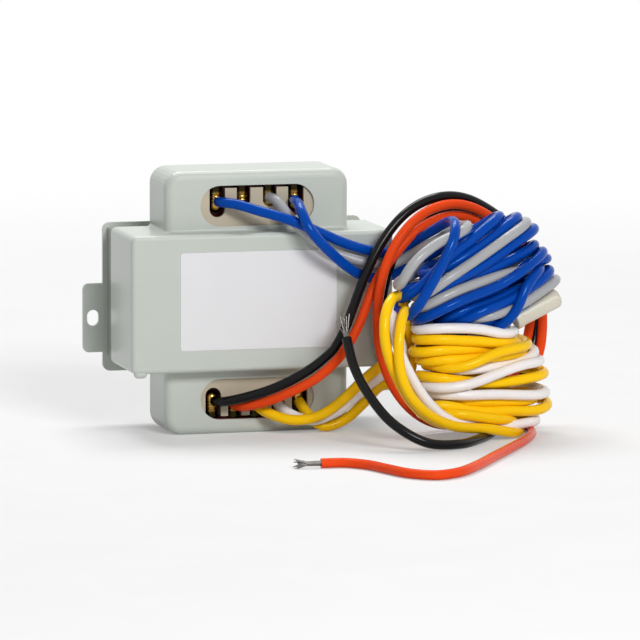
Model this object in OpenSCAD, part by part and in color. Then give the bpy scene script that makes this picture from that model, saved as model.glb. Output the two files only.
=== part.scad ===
// Small chassis-mount mains transformer with flying leads.
// Millimetres. X runs left to right, Y runs from the front to the mounting face, Z is up.
// The origin is under the middle of the housing, on the surface it stands on.

/* [Core] */
// Width of the lamination stack
core_w = 79; // [76:0.5:90]
// Height of the lamination stack
stack_h = 39.2; // [34:0.2:46]
// Width of an outer limb and of each yoke, half the middle limb
limb = 12; // [10:0.5:13]
// Depth of the two winding windows
window_d = 13; // [11:0.5:17]

/* [Cover] */
// Thickness of the drawn cover
sheet = 1; // [0.8:0.1:1.2]
// Clearance between the stack and the cover
stack_gap = 0.4; // [0.2:0.1:0.6]
// Clearance between the stack's front and the cover
front_gap = 0.2; // [0.1:0.1:0.4]
// Clearance between the winding space and a bell's side
bell_gap = 0.2; // [0.1:0.1:0.6]
// Height of the upper bell above the band
top_bell = 18.5; // [17.5:0.5:22]
// Height of the lower bell below the band
low_bell = 20; // [18.5:0.5:24]
// Distance of the bells' front behind the band's front
bell_setback = 7; // [6:0.25:7.5]
// Corner radius of the band, seen from the front
band_corner = 1.8; // [1.6:0.1:2]
// Radius of the band's front edge
band_edge = 1.4; // [1.3:0.1:1.6]
// Corner radius of the bells, seen from the front
bell_corner = 5; // [4:0.25:6]
// Radius of the bells' front edge
bell_edge = 2.6; // [1.5:0.1:3]
// Radius of the fillet where a bell rises from the band
bell_fillet = 1.1; // [0.6:0.1:1.6]
// Length of the pressed bead under each lower front corner
bead_l = 4.2; // [3:0.2:6]
// Thickness of that bead
bead_d = 2.6; // [2:0.1:3]

/* [Lead windows] */
// Width of each lead window
window_w = 35.6; // [32:0.2:40]
// Height of each lead window
window_h = 12.4; // [11:0.2:13]
// Wall between a lead window and the bell's outer end
window_margin = 4.5; // [4:0.1:5.5]

/* [Lead combs] */
// Width of a lead comb
comb_w = 42; // [40:1:48]
// Thickness of a lead comb
comb_t = 1.2; // [1:0.1:1.5]
// Slit between a comb's toothed edge and the window's outer edge
comb_slit = 0.9; // [0.5:0.1:1.5]
// Pitch of the upper comb's notches
top_pitch = 8.2; // [7.4:0.1:8.8]
// Pitch of the lower comb's notches
low_pitch = 6.8; // [6.2:0.1:7.2]
// Width of the outermost notches
wide_notch = 4.9; // [4:0.1:5]
// Depth of the outermost notches
deep_notch = 8.8; // [7:0.1:9.5]
// Width of the inner notches
slim_notch = 4.3; // [3.4:0.1:4.4]
// Depth of the inner notches
short_notch = 5.9; // [4:0.1:6]

/* [Bobbin and windings] */
// Wall of the bobbin tube
bobbin_wall = 1; // [0.8:0.1:1.4]
// Thickness of the bobbin flanges
flange_t = 1; // [0.8:0.1:1.4]
// Clearance of the bobbin on the middle limb and between the yokes
bobbin_gap = 0.2; // [0.1:0.05:0.3]
// Clearance between the flanges and the outer limbs
flange_gap = 0.3; // [0.2:0.05:0.5]
// Room between the flanges and the end of the lower of the two bells
end_gap = 3.7; // [2:0.1:5]
// Height of the flanges above the finished winding
flange_lip = 0.8; // [0.5:0.1:1.2]
// Build of the mains winding
mains_build = 4.4; // [3:0.1:5]
// Build of the heavy secondary winding
heavy_build = 3; // [2:0.1:3.6]
// Build of the light secondary winding
light_build = 4.5; // [3:0.1:6]
// Thickness of the insulation between two windings
barrier_t = 0.4; // [0.3:0.1:0.6]
// Thickness of the outer wrap
wrap_t = 0.5; // [0.3:0.1:0.7]
// Length of a terminal rail
rail_w = 36; // [34:1:40]
// Thickness of a terminal rail
rail_t = 1.6; // [1.2:0.1:1.8]
// Length of a terminal post
post_l = 8.6; // [7:0.2:9]
// Clearance in front of and behind a terminal post
post_gap = 0.25; // [0.15:0.05:0.4]

/* [Mounting bracket] */
// Thickness of the bracket sheet
bracket_t = 1.2; // [1:0.1:1.5]
// Rise of the bracket plate above the band
plate_rise = 0.2; // [0:0.1:3]
// Drop of the bracket plate below the band
plate_drop = 3.7; // [1:0.1:5]
// Corner radius of the bracket plate
plate_corner = 2.25; // [2:0.25:5]
// Reach of an ear beyond the plate
ear_reach = 6; // [5.8:0.1:10]
// Height of an ear
ear_h = 21.3; // [16:0.1:28]
// Distance of an ear's middle below the middle of the band
ear_drop = 8.3; // [0:0.1:9]
// Step from the plate back to the ears
ear_step = 1; // [0.5:0.1:1.2]
// Corner radius of an ear
ear_corner = 1.8; // [1.5:0.1:4]
// Width of an ear's slot
slot_w = 3.7; // [3.2:0.1:4]
// Height of an ear's slot
slot_h = 4.9; // [4.4:0.1:8]
// Distance of the slot's middle from the plate
slot_reach = 2.9; // [2.6:0.1:3.6]
// Width of the lips that clamp the rear yoke
lip_w = 44; // [40:1:50]
// Diameter of the core rivets
rivet_d = 3.2; // [2.6:0.1:4]
// Diameter of a core rivet's head
rivet_head = 5.6; // [5:0.1:7]
// Height of a core rivet's head
rivet_rise = 1.6; // [1.2:0.1:2]
// Distance between the core rivets
rivet_pitch = 28; // [20:1:34]
// Clearance of a core rivet in its hole
rivet_gap = 0.1; // [0.05:0.05:0.2]

/* [Label] */
// Width of the bare label
label_w = 48.8; // [40:0.2:60]
// Height of the bare label
label_h = 29.8; // [24:0.2:34]
// Thickness of the label
label_t = 0.2; // [0.1:0.05:0.4]
// Corner radius of the label
label_corner = 1; // [0.6:0.1:4]
// Distance of the label's middle left of the band's middle
label_left = 1.4; // [0:0.1:3]
// Distance of the label's middle above the band's middle
label_up = 0.7; // [0:0.1:2]

/* [Leads] */
// Diameter of the blue, gray, yellow and white leads
lead_d = 3; // [2.6:0.1:3.2]
// Diameter of the black and orange mains leads
mains_lead_d = 2.8; // [2.4:0.1:3]
// Diameter of the twisted strands at a stripped end
strand_d = 1.7; // [1.2:0.1:1.9]
// Length of the twisted strands at a stripped end
strand_l = 7; // [5:0.5:9]
// Outer diameter of the closed end cap
cap_d = 6.6; // [5.8:0.1:7]
// Length of the closed end cap
cap_l = 16; // [14:0.5:18]

/* [Hidden] */

round_fn = 64;
hull_fn = 24;
eps = 0.01;

// Housing sizes that follow from the core
band_w = core_w + 2 * (stack_gap + sheet);
band_h = stack_h + 2 * (stack_gap + sheet);
coil_w = core_w - 2 * limb;
bell_w = coil_w + 2 * (bell_gap + sheet);
total_h = low_bell + band_h + top_bell;
band_z = low_bell + band_h / 2;

// Stations along Y, from the front to the mounting face
total_d = label_t + sheet + front_gap + 2 * limb + window_d + bracket_t + ear_step;
front_y = label_t - total_d / 2;
core_y = front_y + sheet + front_gap;
window_y = core_y + limb;
joint_y = window_y + window_d;
plate_y = joint_y + limb;
cover_end_y = joint_y + bracket_t;
trim_y = cover_end_y + limb / 2;
bell_y = front_y + bell_setback;
comb_y = bell_y + sheet;
comb_back_y = comb_y + comb_t;
flange_y = window_y + bobbin_gap;
flange_end_y = joint_y - bobbin_gap;

// Levels along Z
stack_top = band_z + stack_h / 2;
stack_low = band_z - stack_h / 2;
top_window_z = total_h - window_margin - window_h / 2;
low_window_z = window_margin + window_h / 2;
top_rail_z = top_window_z + window_h / 2;
low_rail_z = low_window_z - window_h / 2;

// Winding space on one side of the middle limb
tube_w = 2 * (limb + bobbin_gap + bobbin_wall);
tube_h = stack_h + 2 * (bobbin_gap + bobbin_wall);
tube_corner = 1;
flange_grow = (coil_w - tube_w) / 2 - flange_gap;
winding_build = flange_grow - flange_lip;
flange_rise = band_h / 2 + min(top_bell, low_bell) - sheet - end_gap - tube_h / 2;
end_ratio = flange_rise / flange_grow;
flange_corner = 3;
winding_y = flange_y + flange_t;
winding_d = flange_end_y - flange_y - 2 * flange_t;

// The windings share the room between the insulation in proportion to their builds
wire_room = winding_build - 2 * barrier_t - wrap_t;
wire_fill = wire_room / (mains_build + heavy_build + light_build);
mains_in = 0;
mains_out = mains_in + mains_build * wire_fill;
heavy_in = mains_out + barrier_t;
heavy_out = heavy_in + heavy_build * wire_fill;
light_in = heavy_out + barrier_t;
light_out = light_in + light_build * wire_fill;

// Terminal posts stand between the comb and the bobbin's front flange
post_d = flange_y - comb_back_y - 2 * post_gap;
post_y = (comb_back_y + flange_y) / 2;
post_front_y = post_y - post_d / 2;
top_count = 4;
low_count = 5;

// Mounting bracket
plate_low = low_bell - plate_drop;
plate_top = low_bell + band_h + plate_rise;
back_inset = 0.2;
back_corner = bell_corner - sheet;

// Place on the comb's edge of notch i out of n
function notch_x(i, n, pitch) = (i - (n - 1) / 2) * pitch;
function is_outer(i, n) = i == 0 || i == n - 1;

// Sweep of a tube: unit vector, tangent at point i, and a normal carried along the route
function unit(v) = v / norm(v);
function tangent(p, i) = unit(p[min(i + 1, len(p) - 1)] - p[max(i - 1, 0)]);
function square_to(v, t) = unit(v - (v * t) * t);
ring_start = [0.3, 0.2, 1];
function carried(p, i) =
    i == 0 ? square_to(ring_start, tangent(p, 0)) : square_to(carried(p, i - 1), tangent(p, i));

// Routes of the leads, from the terminal post outwards
lead_gap = 0.6;
lead_in = 5;
lead_lift = 1;
lead_aside = 0.5;
lead_y = post_front_y - lead_gap;
top_lead_z = top_rail_z - lead_in;
low_lead_z = low_rail_z + lead_in;
blue_left_route = [[notch_x(0, top_count, top_pitch) + lead_aside, lead_y, top_lead_z],
    [-11.2, -13.6, 71], [-7.4, -16.8, 70.6], [-1.6, -20, 68.9], [5, -23.2, 67], [11, -25.2, 64.7],
    [17, -26, 62], [24.3, -25.6, 58.8], [32.5, -24.3, 56.2], [39.3, -22.3, 55.2], [42.5, -22.4, 56.2],
    [45.2, -24, 57.9], [47.2, -27.2, 60], [48.2, -28.9, 61]];
gray_route = [[notch_x(2, top_count, top_pitch), lead_y, top_lead_z + lead_lift], [5.5, -15, 71.2],
    [7.8, -18.8, 67.6], [11.2, -21.7, 63.3], [16.7, -22.1, 58.8], [22, -22.5, 55.6], [27.5, -23.3, 53.6],
    [32.3, -23.9, 52.4], [37.3, -22.6, 51.6], [41.7, -22.5, 52.2], [44.7, -24.9, 54.5], [46.7, -28.2, 56.4],
    [47.3, -29.2, 57]];
blue_right_route = [[notch_x(3, top_count, top_pitch) - lead_aside, lead_y, top_lead_z], [11, -16.2, 71.2],
    [10.5, -22.4, 70.5], [10.5, -27, 68.2], [11.9, -29.4, 64.3], [15.6, -29.6, 59.7], [20.5, -28, 55.1],
    [25.8, -26.1, 51], [31.4, -24.4, 48.1], [36.6, -22.8, 47.7], [40.2, -23.4, 48.6], [43.1, -26.3, 50.5],
    [46, -29.4, 52.3]];
black_route = [[notch_x(0, low_count, low_pitch) + lead_aside, lead_y, low_lead_z + lead_lift / 2],
    [-11, -16.5, 10.5], [-4, -20.5, 12.5], [3, -23.5, 15.2], [9.5, -26.5, 18.9], [15.5, -28.5, 23.2],
    [21.5, -30.1, 29.5]];
orange_route = [[notch_x(1, low_count, low_pitch), lead_y, low_lead_z - lead_lift], [-5, -16.5, 8.8],
    [1.5, -21.5, 11], [8.5, -26, 14.7], [15, -30, 19.2], [22, -33.3, 27]];
yellow_left_route = [[notch_x(2, low_count, low_pitch), lead_y, low_lead_z - lead_lift], [1.5, -16.5, 7],
    [9, -21, 4.7], [17, -22.5, 6], [24, -23, 10.5], [30, -23.5, 16], [36, -27.2, 21.6],
    [42, -33.9, 23.9]];
white_route = [[notch_x(3, low_count, low_pitch), lead_y, low_lead_z - lead_lift], [8.2, -15.5, 6.7],
    [15, -19.2, 4.2], [23, -19.8, 6.5], [29.5, -20.5, 11.5], [36, -24.7, 17.8], [42, -33.9, 20.1]];
yellow_right_route = [[notch_x(4, low_count, low_pitch), lead_y, low_lead_z - lead_lift / 2],
    [14.6, -15.5, 6.5], [19.5, -16.8, 1.9], [26.5, -16.8, 3.6], [32, -18.2, 8.6], [36.5, -22.3, 14.4],
    [42, -33.8, 16.4]];
capped_route = [[66.3, -36.5, 41], [69.2, -36.2, 36.5], [73.6, -35.7, 35.1]];
black_tail_route = [[67.8, -24.9, 1.5], [68.5, -31, 1.5], [66, -41, 1.5], [59, -52, 1.5], [50, -61, 1.5],
    [39, -64, 2.8], [29.5, -60.5, 8.5], [24, -53, 16.5], [21.7, -45, 24], [21.2, -38.7, 31.5]];
orange_tail_route = [[70.4, -22.3, 1.5], [76.5, -25.5, 1.5], [79.6, -32, 1.5], [78.5, -42, 1.5],
    [72.5, -56, 1.5], [63, -72, 1.5], [53, -88, 1.5], [43, -104, 1.5], [34, -115.5, 1.5], [26.5, -119, 1.5],
    [20, -114, 1.5], [16, -104, 1.5], [12.5, -94.5, 1.5], [7, -88.8, 1.5], [0, -88, 1.5]];

// Coil of the mains leads, and the two hanks that lean on it
coil_at = [57.3, -23.8, 0];
coil_yaw = 14;
coil_r = 33;
coil_section = 3.4;
hank_l = 46;
hank_w = 21;
hank_front = 14.3;
low_hank_x = 3;
low_hank_z = 3.2;
low_hank_h = 28.8;
top_hank_x = 2.4;
top_hank_z = 54.35;
top_hank_h = 26;
top_hank_tilt = 28;
cap_at = [74.6, -35.6, 35.2];
cap_yaw = 6;
cap_tilt = 24;
cap_mouth = 2;

paint = [0.77, 0.80, 0.76];
steel = [0.30, 0.31, 0.32];
bobbin_tone = [0.16, 0.13, 0.11];
copper = [0.72, 0.38, 0.18];
tape = [0.80, 0.68, 0.30];
comb_tone = [0.85, 0.79, 0.70];
brass = [0.78, 0.58, 0.22];
label_tone = [0.90, 0.90, 0.91];
blue = [0.02, 0.25, 0.72];
gray = [0.60, 0.61, 0.62];
black = [0.08, 0.08, 0.08];
orange = [0.95, 0.32, 0.12];
yellow = [0.98, 0.78, 0.06];
white = [0.94, 0.92, 0.91];
nylon = [0.84, 0.81, 0.73];
tinned = [0.75, 0.74, 0.72];

// Flat outlines

module round_rect(w, h, r) {
    square([w - 2 * r, h], center = true);
    square([w, h - 2 * r], center = true);
    for (sx = [-1, 1], sy = [-1, 1])
        translate([sx * (w / 2 - r), sy * (h / 2 - r)])
            circle(r, $fn = round_fn);
}

module obround(w, h) {
    r = min(w, h) / 2;
    reach = [w / 2 - r, h / 2 - r];
    square([w == 2 * r ? w : w - 2 * r, h == 2 * r ? h : h - 2 * r], center = true);
    for (s = [-1, 1])
        translate(s * reach)
            circle(r, $fn = round_fn);
}

// Extrudes an outline drawn in X and Z from y over a depth d
module along_y(y, d) {
    translate([0, y + d, 0])
        rotate([90, 0, 0])
            linear_extrude(d)
                children();
}

// Drawn shapes of the cover

// Round post with a rolled front edge, its front at y = 0
module rolled_post(corner, edge, depth) {
    steps = 6;
    rotate([-90, 0, 0])
        rotate_extrude($fn = hull_fn)
            polygon(concat([[0, depth], [0, 0]],
                [for (k = [0 : steps]) let (a = 90 * k / steps)
                    [corner - edge + edge * sin(a), edge - edge * cos(a)]],
                [[corner, depth]]));
}

// Box with round corners and a rolled front edge, from y to where it is trimmed
module drawn_box(w, low, high, y, corner, edge) {
    hull()
        for (sx = [-1, 1], z = [low + corner, high - corner])
            translate([sx * (w / 2 - corner), y, z])
                rolled_post(corner, edge, trim_y - y);
}

// Level slice through a bell, grown by g all round, its face away from the band at z
module bell_slice(g, z, up) {
    thick = 0.3;
    low = up > 0 ? z - thick : z;
    for (sx = [-1, 1], y = [bell_y + bell_edge, trim_y])
        translate([sx * (bell_w / 2 - bell_edge), y, low])
            cylinder(h = thick, r = bell_edge + g, $fn = hull_fn);
}

// Fillet from the band's level z up a bell, or down it where up is -1
module bell_root(z, up) {
    steps = 3;
    sweep = 80;
    sink = 0.1;
    for (k = [0 : steps - 1])
        hull()
            for (a = [k, k + 1] * sweep / steps)
                bell_slice(bell_fillet * (1 - sin(a)), z + up * (bell_fillet * (1 - cos(a)) - sink), up);
}

// Bead pressed out under a lower front corner of the band
module corner_bead(side) {
    inset = 0.2;
    hull()
        for (x = [bead_d / 2, bead_l - bead_d / 2])
            translate([side * (band_w / 2 - band_corner / 2 - x), front_y + bead_d / 2 + inset, low_bell])
                sphere(d = bead_d, $fn = hull_fn / 2);
}

module front_cover() {
    color(paint)
        difference() {
            union() {
                drawn_box(band_w, low_bell, low_bell + band_h, front_y, band_corner, band_edge);
                drawn_box(bell_w, 0, total_h, bell_y, bell_corner, bell_edge);
                bell_root(low_bell + band_h, 1);
                bell_root(low_bell, -1);
                for (side = [-1, 1])
                    corner_bead(side);
            }
            drawn_box(band_w - 2 * sheet, low_bell + sheet, low_bell + band_h - sheet, front_y + sheet,
                band_corner - sheet, band_edge - sheet);
            drawn_box(bell_w - 2 * sheet, sheet, total_h - sheet, bell_y + sheet,
                bell_corner - sheet, bell_edge - sheet);
            translate([-band_w, cover_end_y, -total_h])
                cube([2 * band_w, 2 * (trim_y - cover_end_y), 3 * total_h]);
            for (z = [low_window_z, top_window_z])
                along_y(bell_y - sheet, 3 * sheet)
                    translate([0, z])
                        obround(window_w, window_h);
        }
}

// Mounting bracket

module ear(side) {
    root = band_w / 2 - plate_corner;
    bend = 1.2;
    edge = band_w / 2;
    tip = edge + ear_reach;
    difference() {
        intersection() {
            translate([0, 0, band_z - ear_drop - ear_h / 2])
                linear_extrude(ear_h)
                    polygon([[side * root, plate_y], [side * (edge - bend), plate_y],
                        [side * edge, plate_y + ear_step], [side * tip, plate_y + ear_step],
                        [side * tip, plate_y + ear_step + bracket_t],
                        [side * (edge - bend / 2), plate_y + ear_step + bracket_t],
                        [side * (edge - 1.5 * bend), plate_y + bracket_t],
                        [side * root, plate_y + bracket_t]]);
            along_y(plate_y - eps, bracket_t + ear_step + 2 * eps)
                translate([side * (tip - (tip - root) / 2 - ear_corner), band_z - ear_drop])
                    round_rect(tip - root + 2 * ear_corner, ear_h, ear_corner);
        }
        along_y(plate_y - eps, bracket_t + ear_step + 2 * eps)
            translate([side * (edge + slot_reach), band_z - ear_drop])
                obround(slot_w, slot_h);
    }
}

// Lip over the rear yoke and the wall that closes the bell in front of it
module bell_back(z, far_z) {
    up = sign(far_z - z);
    along_y(joint_y, bracket_t)
        difference() {
            translate([0, (z + far_z) / 2 - up * back_corner / 2])
                round_rect(bell_w - 2 * (sheet + back_inset), abs(far_z - z) + back_corner, back_corner);
            translate([0, z - up * back_corner])
                square([bell_w, 2 * back_corner], center = true);
        }
    translate([-lip_w / 2, joint_y, up > 0 ? z : z - bracket_t])
        cube([lip_w, plate_y + bracket_t - joint_y, bracket_t]);
}

module mounting_bracket() {
    color(paint)
        difference() {
            union() {
                along_y(plate_y, bracket_t)
                    translate([0, (plate_low + plate_top) / 2])
                        round_rect(band_w, plate_top - plate_low, plate_corner);
                for (side = [-1, 1])
                    ear(side);
                bell_back(stack_top, total_h - sheet - back_inset);
                bell_back(stack_low, sheet + back_inset);
            }
            rivet_holes();
        }
}

// Core

module rivet_holes() {
    for (side = [-1, 1])
        translate([side * rivet_pitch / 2, joint_y + limb / 2, stack_low - 2 * bracket_t])
            cylinder(h = stack_h + 4 * bracket_t, d = rivet_d + 2 * rivet_gap, $fn = round_fn);
}

module core_e_stack() {
    color(steel)
        translate([0, 0, stack_low])
            linear_extrude(stack_h)
                difference() {
                    translate([-core_w / 2, core_y])
                        square([core_w, limb + window_d]);
                    for (side = [-1, 1])
                        translate([side * (limb + coil_w / 2) / 2, window_y + window_d / 2 + eps])
                            square([coil_w / 2 - limb, window_d + 2 * eps], center = true);
                }
}

module core_i_stack() {
    color(steel)
        difference() {
            translate([-core_w / 2, joint_y, stack_low])
                cube([core_w, limb, stack_h]);
            rivet_holes();
        }
}

// Rivet with a low domed head at both ends
module core_rivet() {
    half = stack_h / 2 + bracket_t;
    dome = [for (a = [0 : 15 : 90]) [rivet_head / 2 * cos(a), half + rivet_rise * sin(a)]];
    rotate_extrude($fn = round_fn)
        polygon(concat([[0, -half - rivet_rise]],
            [for (k = [len(dome) - 2 : -1 : 0]) [dome[k][0], -dome[k][1]]],
            [[rivet_d / 2, -half], [rivet_d / 2, half]], dome));
}

module core_rivets() {
    color(steel)
        for (side = [-1, 1])
            translate([side * rivet_pitch / 2, joint_y + limb / 2, band_z])
                core_rivet();
}

// Bobbin and windings

// Outline of the coil around the bobbin tube, grown by g at its sides and to scale at its ends
module coil_outline(g) {
    translate([0, band_z])
        round_rect(tube_w + 2 * g, tube_h + 2 * g * end_ratio, tube_corner + g);
}

module winding(inner, outer) {
    along_y(winding_y, winding_d)
        difference() {
            coil_outline(outer);
            coil_outline(inner);
        }
}

// Shelf in front of the bobbin that carries one row of posts, with its web to the flange
module terminal_rail(z, up) {
    low = up > 0 ? z : z - rail_t;
    translate([-rail_w / 2, comb_back_y + post_gap, low])
        cube([rail_w, flange_y + flange_t - comb_back_y - post_gap, rail_t]);
    web_end = band_z + up * tube_h / 2;
    translate([-rail_w / 2, flange_y, min(low, web_end)])
        cube([rail_w, flange_t, abs(low - web_end)]);
}

module bobbin() {
    color(bobbin_tone)
        difference() {
            union() {
                along_y(flange_y, flange_end_y - flange_y)
                    coil_outline(0);
                for (y = [flange_y, flange_end_y - flange_t])
                    along_y(y, flange_t)
                        translate([0, band_z])
                            round_rect(tube_w + 2 * flange_grow, tube_h + 2 * flange_rise, flange_corner);
                terminal_rail(top_rail_z, 1);
                terminal_rail(low_rail_z, -1);
            }
            along_y(window_y - window_d, 3 * window_d)
                translate([0, band_z])
                    square([2 * (limb + bobbin_gap), stack_h + 2 * bobbin_gap], center = true);
        }
}

module mains_winding() {
    color(copper)
        winding(mains_in, mains_out);
}

module first_insulation() {
    color(tape)
        winding(mains_out, heavy_in);
}

module heavy_winding() {
    color(copper)
        winding(heavy_in, heavy_out);
}

module second_insulation() {
    color(tape)
        winding(heavy_out, light_in);
}

module light_winding() {
    color(copper)
        winding(light_in, light_out);
}

module outer_wrap() {
    color(tape)
        winding(light_out, light_out + wrap_t);
}

// Lead combs and terminal posts

// Notch open at the edge e of a comb, cut away from up
module notch(x, e, up, w, depth) {
    translate([x, e - up * (depth - w / 2)])
        circle(d = w, $fn = round_fn);
    translate([x, e - up * (depth - w / 2) / 2 + up * w / 2])
        square([w, depth - w / 2 + w], center = true);
}

module lead_comb(foot, e, up, count, pitch) {
    along_y(comb_y, comb_t)
        difference() {
            translate([0, (foot + e) / 2])
                square([comb_w, abs(e - foot)], center = true);
            for (i = [0 : count - 1])
                notch(notch_x(i, count, pitch), e, up, is_outer(i, count) ? wide_notch : slim_notch,
                    is_outer(i, count) ? deep_notch : short_notch);
        }
}

module upper_lead_comb() {
    color(comb_tone)
        lead_comb(stack_top, top_rail_z - comb_slit, 1, top_count, top_pitch);
}

module lower_lead_comb() {
    color(comb_tone)
        lead_comb(stack_low, low_rail_z + comb_slit, -1, low_count, low_pitch);
}

// Turned post with two grooves and a domed end, standing on z = 0
module terminal_post() {
    r = post_d / 2;
    groove = 0.35;
    land = 0.9;
    rise = post_l - r;
    rotate_extrude($fn = round_fn)
        polygon(concat([[0, 0], [r, 0]],
            [for (k = [1 : 3]) each [[r, (2 * k - 1) * land], [r - groove, (2 * k - 1) * land],
                [r - groove, 2 * k * land], [r, 2 * k * land]]],
            [for (a = [0 : 15 : 90]) [r * cos(a), rise + r * sin(a)]]));
}

module upper_terminal_posts() {
    color(brass)
        for (i = [0 : top_count - 1])
            translate([notch_x(i, top_count, top_pitch), post_y, top_rail_z])
                rotate([180, 0, 0])
                    terminal_post();
}

module lower_terminal_posts() {
    color(brass)
        for (i = [0 : low_count - 1])
            translate([notch_x(i, low_count, low_pitch), post_y, low_rail_z])
                terminal_post();
}

module label() {
    color(label_tone)
        along_y(front_y - label_t, label_t)
            translate([-label_left, band_z + label_up])
                round_rect(label_w, label_h, label_corner);
}

// Leads

// Tube of diameter d swept along a route
module tube(route, d) {
    sides = 8;
    n = len(route);
    rings = [for (i = [0 : n - 1])
        let (t = tangent(route, i), u = carried(route, i), v = cross(t, u))
            for (k = [0 : sides - 1])
                route[i] + d / 2 * (cos(360 * k / sides) * u + sin(360 * k / sides) * v)];
    walls = [for (i = [0 : n - 2], k = [0 : sides - 1])
        let (a = i * sides + k, b = i * sides + (k + 1) % sides)
            [a, a + sides, b + sides, b]];
    ends = [[for (k = [0 : sides - 1]) k], [for (k = [sides - 1 : -1 : 0]) (n - 1) * sides + k]];
    polyhedron(rings, concat(walls, ends));
}

module blue_lead_left() {
    color(blue)
        tube(blue_left_route, lead_d);
}

module gray_lead() {
    color(gray)
        tube(gray_route, lead_d);
}

module blue_lead_right() {
    color(blue)
        tube(blue_right_route, lead_d);
}

module black_lead() {
    color(black)
        tube(black_route, mains_lead_d);
}

module orange_lead() {
    color(orange)
        tube(orange_route, mains_lead_d);
}

module yellow_lead_left() {
    color(yellow)
        tube(yellow_left_route, lead_d);
}

module white_lead() {
    color(white)
        tube(white_route, lead_d);
}

module yellow_lead_right() {
    color(yellow)
        tube(yellow_right_route, lead_d);
}

module capped_lead_end() {
    color(gray)
        tube(capped_route, lead_d);
}

module black_tail() {
    color(black)
        tube(black_tail_route, mains_lead_d);
}

module orange_tail() {
    color(orange)
        tube(orange_tail_route, mains_lead_d);
}

// Twisted strands that go on from the end of a route
module strands(route) {
    n = len(route);
    a = route[n - 1];
    t = tangent(route, n - 1);
    tube([a, a + strand_l * t], strand_d);
}

module black_strands() {
    color(tinned)
        strands(black_tail_route);
}

module orange_strands() {
    color(tinned)
        strands(orange_tail_route);
}

module hank_outline() {
    obround(hank_l, hank_w);
}

module yellow_white_hank() {
    color(yellow)
        translate(coil_at)
            rotate([0, 0, coil_yaw])
                translate([low_hank_x, -hank_front, low_hank_z])
                    linear_extrude(low_hank_h)
                        hank_outline();
}

module blue_gray_hank() {
    color(blue)
        translate(coil_at)
            rotate([0, 0, coil_yaw])
                translate([top_hank_x, -hank_front, top_hank_z])
                    rotate([0, -top_hank_tilt, 0])
                        translate([0, 0, -top_hank_h / 2])
                            linear_extrude(top_hank_h)
                                hank_outline();
}

module black_orange_coil() {
    color(black)
        translate(coil_at + [0, 0, coil_r + coil_section])
            rotate([90, 0, coil_yaw])
                rotate_extrude($fn = round_fn)
                    translate([coil_r, 0])
                        circle(coil_section, $fn = round_fn);
}

// Closed crimp cap with a round far end and a wider mouth
module end_cap() {
    r = cap_d / 2;
    rim = 0.25;
    color(nylon)
        translate(cap_at)
            rotate([0, 90 - cap_tilt, cap_yaw])
                rotate_extrude($fn = round_fn)
                    polygon(concat([[0, 0], [r, 0], [r, cap_mouth], [r - rim, cap_mouth + rim]],
                        [for (a = [0 : 15 : 90]) [(r - rim) * cos(a), cap_l - r + r * sin(a)]]));
}

front_cover();
mounting_bracket();
core_e_stack();
core_i_stack();
core_rivets();
bobbin();
mains_winding();
first_insulation();
heavy_winding();
second_insulation();
light_winding();
outer_wrap();
upper_lead_comb();
lower_lead_comb();
upper_terminal_posts();
lower_terminal_posts();
label();
blue_lead_left();
gray_lead();
blue_lead_right();
black_lead();
orange_lead();
yellow_lead_left();
white_lead();
yellow_lead_right();
blue_gray_hank();
yellow_white_hank();
black_orange_coil();
capped_lead_end();
end_cap();
black_tail();
orange_tail();
black_strands();
orange_strands();
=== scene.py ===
"""Looks of a small mains transformer with flying leads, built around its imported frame."""

import math

import bmesh
import bpy
import numpy as np
from mathutils import Matrix, Vector


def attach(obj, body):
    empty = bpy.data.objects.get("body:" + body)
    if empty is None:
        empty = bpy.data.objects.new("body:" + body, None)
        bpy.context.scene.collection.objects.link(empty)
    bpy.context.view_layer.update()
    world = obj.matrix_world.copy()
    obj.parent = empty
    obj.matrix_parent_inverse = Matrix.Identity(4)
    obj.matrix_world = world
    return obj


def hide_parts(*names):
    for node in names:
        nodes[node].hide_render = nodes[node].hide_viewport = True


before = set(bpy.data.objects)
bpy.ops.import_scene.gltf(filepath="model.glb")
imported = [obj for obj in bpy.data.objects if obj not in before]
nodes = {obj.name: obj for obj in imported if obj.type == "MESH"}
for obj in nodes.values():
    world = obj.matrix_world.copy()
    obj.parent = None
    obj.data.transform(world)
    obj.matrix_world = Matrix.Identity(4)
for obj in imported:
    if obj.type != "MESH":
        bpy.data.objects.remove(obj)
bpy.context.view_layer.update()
rng = np.random.default_rng(7)
MM = 0.001
BODY = "root"

# Leads: sizes in millimetres, routes as in the part's source
LEAD_D = 3.2
MAINS_D = 3.0
STEP = 1.5
LEAD_Y = -11.25

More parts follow.
